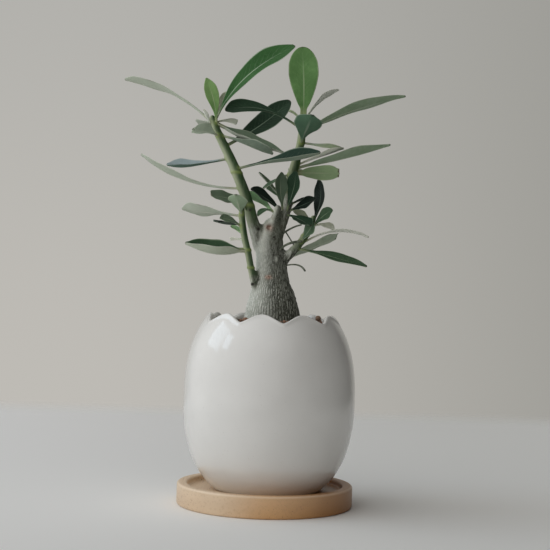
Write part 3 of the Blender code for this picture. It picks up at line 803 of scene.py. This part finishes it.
def level_cut(points, triangles, z):
    """Centre and area of a closed mesh's cut at height z."""
    corners = points[triangles]
    above = corners[:, :, 2] > z
    crossed = above.any(axis=1) & ~above.all(axis=1)
    corners, above = corners[crossed], above[crossed]
    lone = np.where(above.sum(axis=1) == 1, above.argmax(axis=1), above.argmin(axis=1))
    rows = np.arange(len(corners))
    a, b, c = (corners[rows, (lone + k) % 3] for k in range(3))
    p, q = (a + (far - a) * ((z - a[:, 2]) / (far[:, 2] - a[:, 2]))[:, None] for far in (b, c))
    normal = np.cross(corners[:, 1] - corners[:, 0], corners[:, 2] - corners[:, 0])
    backwards = (q - p)[:, 0] * -normal[:, 1] + (q - p)[:, 1] * normal[:, 0] < 0
    p, q = np.where(backwards[:, None], q, p), np.where(backwards[:, None], p, q)
    weight = p[:, 0] * q[:, 1] - q[:, 0] * p[:, 1]
    area = weight.sum() / 2
    return ((p + q)[:, :2] * weight[:, None]).sum(axis=0) / (6 * area), area


def centre_line(name, low, high):
    """Centres and radii of a stem from its node's level cuts, from low to high."""
    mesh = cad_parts[name].data
    mesh.calc_loop_triangles()
    points, triangles = vertices(mesh), read(mesh.loop_triangles, "vertices", 3)
    heights = np.arange(low, high, CUT_STEP)
    cuts = [level_cut(points, triangles, z) for z in heights]
    centres = np.column_stack([[cut[0] for cut in cuts], heights])
    upright = unit(np.gradient(centres, axis=0))[:, 2]
    return centres, np.sqrt(np.array([cut[1] for cut in cuts]) * upright / math.pi)


def softened(values):
    """Averages each value with its neighbours, and keeps the ends."""
    middle = (values[:-2] + 2 * values[1:-1] + values[2:]) / 4
    return np.concatenate([values[:1], middle, values[-1:]])


def stem_line(name, caudex):
    """A stem's centre line and radii, drawn down into the caudex that it grows from."""
    low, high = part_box(name)
    centres, radii = centre_line(name, low.z + 0.5 * MM, high.z - END_CUT)
    if caudex is not None:
        body, girth = caudex
        near = np.column_stack([np.interp(centres[:, 2], body[:, 2], body[:, k]) for k in (0, 1)])
        around = np.interp(centres[:, 2], body[:, 2], girth)
        apart = np.linalg.norm(centres[:, :2] - near, axis=1) - around
        clear = (apart > np.median(radii)) | (centres[:, 2] > body[-1, 2] + MM)
        first = np.argmax(clear)
        centres, radii = centres[first:], radii[first:]
        way = unit(centres[0] - centres[3])
        inward = centres[0] + way * np.linspace(STEM_ROOT, CUT_STEP, 5)[:, None]
        centres = np.concatenate([inward, centres])
        radii = np.concatenate([np.full(5, radii[0]), radii])
    last = centres[-1] + unit(centres[-1] - centres[-3]) * END_CUT
    centres = np.concatenate([centres, [last]])
    radii = np.concatenate([radii, radii[-1:] * 0.9])
    return softened(softened(centres)), softened(softened(radii))


def tube_mesh(centres, radii, columns):
    """Points and faces of a closed tube with rounded ends."""
    ways = unit(np.gradient(centres, axis=0))
    angles = np.radians(END_ANGLES)
    start = centres[0] - np.outer(np.sin(angles), ways[0]) * radii[0]
    end = centres[-1] + np.outer(np.sin(angles), ways[-1]) * radii[-1]
    centres = np.concatenate([start[::-1], centres, end])
    radii = np.concatenate([radii[0] * np.cos(angles[::-1]), radii, radii[-1] * np.cos(angles)])
    ways = np.concatenate([[ways[0]] * len(angles), ways, [ways[-1]] * len(angles)])
    across = unit(np.cross(ways, (0, 1, 0)))
    other = np.cross(ways, across)
    turns = np.linspace(0, math.tau, columns, endpoint=False)[:, None]
    rings = np.cos(turns) * across[:, None] + np.sin(turns) * other[:, None]
    points = (centres[:, None] + radii[:, None, None] * rings).reshape(-1, 3)
    caps = [tuple(range(columns)), tuple(range(len(points) - columns, len(points)))]
    return points, ring_faces(len(centres), columns) + caps


def joined_skin(lines):
    """One smooth skin round all the stems, with a fillet where they meet. Points and quads."""
    shape = bmesh.new()
    for centres, radii in lines.values():
        points, faces = tube_mesh(centres, radii + FILLET, STEM_COLUMNS)
        corners = [shape.verts.new(point) for point in points]
        for face in faces:
            shape.faces.new([corners[i] for i in face])
    bmesh.ops.recalc_face_normals(shape, faces=shape.faces)
    mesh = bpy.data.meshes.new("stem_cage")
    shape.to_mesh(mesh)
    shape.free()
    cage = added("stem_cage", mesh)
    remesh = cage.modifiers.new("skin", "REMESH")
    remesh.mode = "VOXEL"
    remesh.voxel_size = VOXEL
    bpy.context.view_layer.update()
    skin = cage.evaluated_get(bpy.context.evaluated_depsgraph_get()).to_mesh()
    points, quads = vertices(skin), read(skin.loops, "vertex_index").reshape(-1, 4)
    bpy.data.objects.remove(cage)
    points = relaxed(points, quads, 8)
    return relaxed(points - FILLET * grid_normals(points, quads), quads, 2), quads


def relaxed(values, quads, times):
    """Each point's values become the mean of its neighbours', again and again."""
    here, there = np.concatenate([quads[:, [k, (k + way) % 4]] for way in (1, -1) for k in range(4)]).T
    count = np.bincount(here)[:, None]
    for _ in range(times):
        values = np.column_stack([np.bincount(here, column[there]) for column in values.T]) / count
    return values


def near(points, place, reach):
    """1 at a place, fading to 0 over a few times the reach, both in millimetres."""
    return np.exp(-(((points - np.array(place) * MM) / (np.array(reach) * MM)) ** 2).sum(axis=1))


def nearest_stem(points, lines):
    """For each point, the number of the stem that it lies on, by distance to the stems' surfaces."""
    depth = [
        np.min([np.linalg.norm(points - centre, axis=1) - radius for centre, radius in zip(*line)], axis=0)
        for line in lines.values()
    ]
    return np.argmin(depth, axis=0)


def build_stems(leaves):
    centres, radii = stem_line("caudex", None)
    above = centres[:, 2] > BURIED_TO
    lines = {"caudex": (centres[above], radii[above])}
    for name in STEM_NAMES[1:]:
        lines[name] = stem_line(name, lines["caudex"])
    points, quads = joined_skin(lines)
    normals = grid_normals(points, quads)
    height = points[:, 2]

    patchy = height + 3 * MM * lattice_noise(points / (4 * MM), 11)
    turns_green = np.array(list(GREEN_FROM.values())) * MM
    green = smooth_step(patchy, *turns_green[nearest_stem(points, lines)].T)
    green = relaxed(green[:, None], quads, 6)[:, 0]
    fresh = smooth_step(height, *CRINKLES_END)

    around = np.arctan2(points[:, 0] - CAUDEX_AXIS, -points[:, 1])
    phase = WRINKLES * around + 2.1 * lattice_noise(points / (2.4 * MM), 12)
    phase += 1.2 * lattice_noise(points / (5, 5, 9) / MM, 15)
    ridge = smooth_step(np.sin(phase), 0.15, 0.85)
    dash = smooth_step(lattice_noise(points / (0.9, 0.9, 1.25) / MM, 17), -0.3, 0.15)
    crest = ridge * dash * (1 - 0.4 * fresh) * (1 - green)
    fluting = lattice_noise(points / (7, 7, 24) / MM, 16) * (1 - green)
    lift = CREST_LIFT * crest + FLUTING_LIFT * fluting

    node = np.zeros(len(points))
    for leaf in leaves.values():
        below = leaf["base"] / MM - unit(leaf["chord"] + 4 * leaf["bend"]) * 0.8
        node = np.maximum(node, near(points, below, 1.35))
    for place, reach in NODE_RINGS:
        node = np.maximum(node, near(points, place, reach))
    lift += NODE_LIFT * node

    marks = {kind: np.zeros(len(points)) for kind in ("scar", "spot", "pale")}
    for place, reach, depth, kind in SCARS:
        mark = near(points, place, reach)
        ring = np.clip(mark * (1 - mark) * 4, 0, 1)
        lift += depth * (0.9 * mark if kind == "pale" else ring - 0.5 * mark)
        marks[kind] = np.maximum(marks[kind], np.clip(1.5 * mark, 0, 1))
    points = points + normals * (lift * MM)[:, None]
    stems = piece(
        "caudex_and_stems", points, quads.tolist(), [bark_material()], STEM_NAMES, weld=False
    )
    # Painted light on the bark: 1 where its surface leans to -X, towards the light, and 0 in painted shade
    attributes = {
        "green": green, "fresh": fresh, "sunny": smooth_step(-normals[:, 0], *PAINTED_LIGHT_FROM),
        "crest": np.maximum(crest, marks["pale"]), "node": node * green,
        "scar": marks["scar"], "spot": marks["spot"],
    }
    for name, values in attributes.items():
        store(stems.data, name, values)


# Leaves


def levels_from(start):
    """A mesh's vertices in steps outward from one of them."""
    seen, levels = {start}, [[start]]
    while levels[-1]:
        around = dict.fromkeys(edge.other_vert(v) for v in levels[-1] for edge in v.link_edges)
        levels.append([v for v in around if v not in seen])
        seen.update(levels[-1])
    return levels[:-1]


def ring_shape(ring):
    """Half width of a leaf's ring, and the vector from its midrib up to the line between its edges."""
    gaps = np.linalg.norm(ring[:, None] - ring[None], axis=2)
    a, b = np.unravel_index(gaps.argmax(), gaps.shape)
    c, d = set(range(4)) - {a, b}
    return gaps[a, b] / 2, (ring[a] + ring[b] - ring[c] - ring[d]) / 2


def read_leaf(name):
    """What a leaf's node says of it: its line, and along that its half widths and which way it faces."""
    shape = bmesh.new()
    shape.from_mesh(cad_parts[name].data)
    bmesh.ops.remove_doubles(shape, verts=shape.verts, dist=0.001 * MM)
    wanted = [1] + [4] * (len(LEAF_SHARES) - 1)
    levels = next(
        found for found in map(levels_from, shape.verts) if [len(level) for level in found] == wanted
    )
    rings = [np.array([v.co[:] for v in level]) for level in levels[:0:-1]]
    tip = np.array(levels[0][0].co[:])
    shape.free()
    base = rings[0].mean(axis=0)
    chord = tip - base
    share = LEAF_SHARES[4]
    bend = (rings[4].mean(axis=0) - base - chord * share) / (4 * share * (1 - share))
    shapes = [ring_shape(ring) for ring in rings[1:]]
    halves = np.array([shapes[0][0]] + [half for half, _ in shapes] + [0])
    ups = np.array([shapes[0][1]] + [up for _, up in shapes] + [shapes[-1][1]])
    fold = np.median(np.linalg.norm(ups[1:-1], axis=1) / halves[1:-1])
    return {"base": base, "chord": chord, "bend": bend, "halves": halves, "ups": ups, "fold": fold}


def leaf_rows(leaf, broken):
    """The leaf's line, with each point's share along it, tangent, face direction and half width."""
    t = np.linspace(0, 1, LEAF_ROWS)
    shares = 0.45 * t + 0.55 * (1 - np.cos(math.pi * t)) / 2
    shares = shares if broken else shares[:-1]
    s = shares[:, None]
    line = leaf["base"] + leaf["chord"] * s + leaf["bend"] * 4 * s * (1 - s)
    ways = unit(leaf["chord"] + leaf["bend"] * 4 * (1 - 2 * s))
    ups = np.column_stack([np.interp(shares, LEAF_SHARES, leaf["ups"][:, k]) for k in range(3)])
    ups = unit(ups - ways * (ups * ways).sum(axis=1)[:, None])
    halves = leaf["halves"].copy()
    halves[-1] = halves[-2] * 0.9 if broken else 0
    half = np.sqrt(monotone(LEAF_SHARES, halves**2, shares))
    line = np.concatenate([[line[0] - ways[0] * INTO_STEM], line])
    return line, *(np.concatenate([values[:1], values]) for values in (shares, ways, ups, half))


def leaf_mesh(leaf, dice, broken):
    """Points, faces, skin of each face and map of a whole leaf."""
    line, shares, ways, ups, half = leaf_rows(leaf, broken)
    s, half = shares[:, None], half[:, None]
    u = np.sin(np.linspace(-math.pi / 2, math.pi / 2, LEAF_COLUMNS))
    blade = smooth_step(half, *STALK_TO_BLADE)
    hollow = (np.sqrt(u * u + 0.06) - math.sqrt(0.06)) / (math.sqrt(1.06) - math.sqrt(0.06))
    phase = dice.uniform(0, math.tau, 2)
    waves = np.sin(s * dice.uniform(9, 15) + np.where(u < 0, phase[0], phase[1]))
    height = leaf["fold"] * half * (hollow - 0.5)
    height += half * blade * (MARGIN_WAVE * u * u * waves + BLADE_TWIST * u * np.sin(s * 3 + phase[0]))
    round_edge = np.sqrt(np.clip(1 - u * u, 0, 1))
    thin_edge = np.sqrt(np.clip(1 - u**6, 0, 1)) * (1 - 0.4 * np.abs(u))
    depth = (1 - blade) * round_edge * PETIOLE_DEPTH + blade * thin_edge * BLADE_THICKNESS / 2
    rib = RIB_HEIGHT * np.exp(-((u * half / RIB_HALF_WIDTH) ** 2)) * (1 - s) ** 0.6 * blade
    flat = line[:, None] + np.cross(ways, ups)[:, None] * (u * half)[..., None]
    if broken:
        jag = 0.5 + 0.5 * lattice_noise(np.column_stack([u * 3.1, u * 0, u * 0 + phase[0]]), 21)
        flat -= ways[:, None] * (JAG_DEPTH * np.linalg.norm(leaf["chord"]) * jag * s)[..., None]
    upper = flat + ups[:, None] * (height + depth - 0.28 * rib)[..., None]
    lower = flat + ups[:, None] * (height - depth - rib)[..., None]
    points = np.concatenate([upper, lower[:, -2:0:-1]], axis=1)
    rows, ring = points.shape[:2]
    points = points.reshape(-1, 3)
    around = np.concatenate([u, u[-2:0:-1]]) / 2 + 0.5
    places = np.column_stack([np.tile(around, rows), np.repeat(shares, ring)])
    ring_skins = [0] * (LEAF_COLUMNS - 1) + [1] * (ring - LEAF_COLUMNS + 1)
    faces = [*ring_faces(rows, ring), tuple(range(ring))]
    skins = [*ring_skins * (rows - 1), 0]
    tip = rows * ring
    last = range(tip - ring, tip)
    if broken:
        return points, [*faces, tuple(last)], [*skins, 0], places
    faces += [(i, j, tip) for i, j in zip(last, [*last[1:], last[0]])]
    points = np.concatenate([points, [leaf["base"] + leaf["chord"]]])
    return points, faces, skins + ring_skins, np.concatenate([places, [[0.5, 1]]])


def extra_leaf(row):
    """The same facts as read_leaf gives, for a leaf that has no node."""
    base, chord, bend = np.array(row[:3]) * MM
    half, up, fold, _kind = row[3:]
    widths = half * MM * np.sin(np.pi * np.array(LEAF_SHARES) ** 1.6) ** 0.8
    halves = np.maximum(widths, 0.5 * MM)
    ups = np.tile(up, (len(LEAF_SHARES), 1))
    return {"base": base, "chord": chord, "bend": bend, "halves": halves, "ups": ups, "fold": fold}


def build_leaves(leaves):
    dice = np.random.default_rng(SEED + 1)
    skins, kind_of = {}, {}
    for kind, (names, *sides) in LEAF_KINDS.items():
        kind_of.update(dict.fromkeys(names.split(), kind))
        skins[kind] = [
            leaf_material(f"leaf_{kind}_{side}", *np.array(colours) / 1000, *finish)
            for colours, (side, *finish) in zip(sides, LEAF_SIDES)
        ]
    rows = [(name, leaf, kind_of.get(short_name(name), "mature"), [name]) for name, leaf in leaves.items()]
    rows += [(name, extra_leaf(row), row[-1], []) for name, row in EXTRA_LEAVES.items()]
    for name, leaf, kind, nodes in rows:
        points, faces, sides, places = leaf_mesh(leaf, dice, name in BROKEN)
        blade = piece(name + "_blade", points, faces, skins[kind], nodes, sides, places, weld=False)
        store(blade.data, "vary", np.full(len(blade.data.vertices), dice.random()))


def short_name(name):
    """left_stem_leaf_04 becomes LS04 and left_shoot_leaf_04 becomes LSH04, for the table of kinds."""
    stem, number = name.rsplit("_leaf_", 1)
    initials = "".join(word[0] for word in stem.split("_")).upper()
    return initials + ("H" if stem.endswith("shoot") else "") + number


# Dried stalks between the stems


def build_stalks():
    """Each stalk is one smooth arc through its three points."""
    material = dry_material()
    s = np.linspace(0, 1, STALK_ROWS)[:, None]
    for name, (thick, thin), path in STALKS:
        start, middle, end = np.array(path) * MM
        handle = 2 * middle - (start + end) / 2
        line = (1 - s) ** 2 * start + 2 * s * (1 - s) * handle + s * s * end
        points, faces = tube_mesh(line, np.linspace(thick, thin, STALK_ROWS) * MM, STALK_COLUMNS)
        piece(name, points, faces, [material])


# Studio


def table_material():
    """Matt white with painted shade that darkens it a little to the right, and that fades out towards the
    edges.
    """
    s = Shading("table_white")
    x, y, _ = s.parts(s.node("NewGeometry", {}, "Position"))
    far = s.math("MAXIMUM", s.math("ABSOLUTE", x), s.math("ABSOLUTE", y))
    colour = s.mix(s.step(x, *TABLE_PAINTED_SHADE), *TABLE_COLOURS)
    s.set(Base_Color=colour, Roughness=0.9, Specular_IOR_Level=0.0, Alpha=s.step(far, *TABLE_FADE))
    return s.material


def backdrop_material():
    """A pale grey glow that stands in for a lit wall, darkened a little upwards and to the right by painted
    shade.
    """
    s = Shading("backdrop_grey")
    x, _, z = s.parts(s.node("NewGeometry", {}, "Position"))
    colour = s.mix(s.step(z, *BACKDROP_RISE), BACKDROP_LOW, BACKDROP_HIGH)
    colour = s.mix(s.step(x, *BACKDROP_SHADE), colour, BACKDROP_SHADED)
    # The backdrop glows though it is no lamp: its glow is painted light that stands for a lit wall
    s.set(Base_Color=(0, 0, 0), Specular_IOR_Level=0.0, Emission_Color=colour, Emission_Strength=1.0)
    return s.material


def on_stage(name, shape, material):
    mesh = bpy.data.meshes.new(name)
    shape.to_mesh(mesh)
    shape.free()
    mesh.materials.append(material)
    thing = added(name, mesh)
    return thing


def build_studio():
    floor = bmesh.new()
    bmesh.ops.create_grid(floor, x_segments=1, y_segments=1, size=TABLE_HALF)
    on_stage("table", floor, table_material())
    shell = bmesh.new()
    bmesh.ops.create_uvsphere(shell, u_segments=48, v_segments=24, radius=BACKDROP_RADIUS)
    backdrop = on_stage("backdrop", shell, backdrop_material())
    for kind in ("diffuse", "glossy", "transmission", "volume_scatter", "shadow"):
        setattr(backdrop, "visible_" + kind, False)


def build_sky():
    world = bpy.data.worlds.new("soft_sky")
    world.use_nodes = True
    s = Nodes(world.node_tree)
    direction = s.node("TexCoord", {}, "Generated")

    def towards(way, fade):
        inputs = {0: direction, 1: Vector(way).normalized()}
        return s.step(s.node("VectorMath", inputs, "Value", operation="DOT_PRODUCT"), *fade)

    sky = s.mix(towards(SKY_TOWARDS, SKY_FADE), SKY_DARK, SKY_BRIGHT)
    colour = s.mix(towards(WALL_TOWARDS, WALL_FADE), sky, WALL_GREY)
    s.put(s.tree.nodes["Background"].inputs["Color"], colour)
    bpy.context.scene.world = world


def build_lights():
    build_sky()
    bpy.context.scene.view_settings.view_transform = "Standard"
    for name, place, size, power in WINDOWS:
        light = bpy.data.lights.new(name, "AREA")
        light.shape = "RECTANGLE"
        light.size, light.size_y = size
        light.energy = power
        light.color = WINDOW_COLOUR
        window = added(name, light)
        window.location = place
        window.rotation_euler = (Vector(WINDOW_AIM) - Vector(place)).to_track_quat("-Z", "Y").to_euler()
        window.visible_camera = False


def build_camera():
    camera = added("camera", bpy.data.cameras.new("camera"))
    camera.data.lens = CAMERA_LENS
    tilt = Matrix.Rotation(math.radians(90 + CAMERA_UP), 4, "X")
    roll = Matrix.Rotation(math.radians(CAMERA_ROLL), 4, "Z")
    camera.matrix_world = Matrix.Translation(CAMERA_PLACE) @ tilt @ roll
    bpy.context.scene.camera = camera


build_camera()
build_studio()
build_lights()
build_saucer()
build_pot()
build_soil()
leaf_frames = {name: read_leaf(name) for name in sorted(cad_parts) if "_leaf_" in name}
build_stems(leaf_frames)
build_leaves(leaf_frames)
build_stalks()
